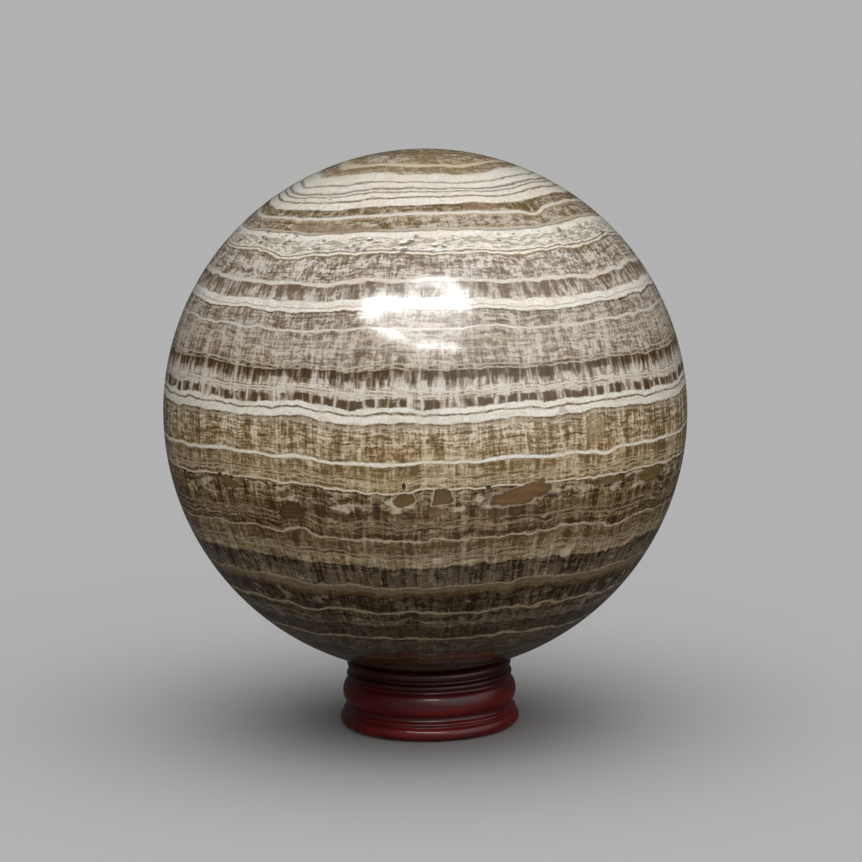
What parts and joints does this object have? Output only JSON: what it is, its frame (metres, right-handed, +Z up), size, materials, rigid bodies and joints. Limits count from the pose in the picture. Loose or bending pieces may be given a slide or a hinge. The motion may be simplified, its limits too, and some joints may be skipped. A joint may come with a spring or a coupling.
{
  "type": "decorative sphere",
  "caption": "Polished ball of banded brown and cream stone resting on a small turned red-brown wooden ring stand, as a table ornament.",
  "frame": {"origin": "on the ground, at the middle of the ring stand's underside", "axes": "+Z up through the stand's bore and the ball's middle; -Y towards the side that the picture shows"},
  "size_m": [0.15, 0.15, 0.1665],
  "materials": {
    "banded_stone": "polished",
    "lacquered_wood": "gloss"
  },
  "bodies": {
    "root": {"stone_ball": "banded_stone", "ring_stand": "lacquered_wood"}
  },
  "joints": []
}
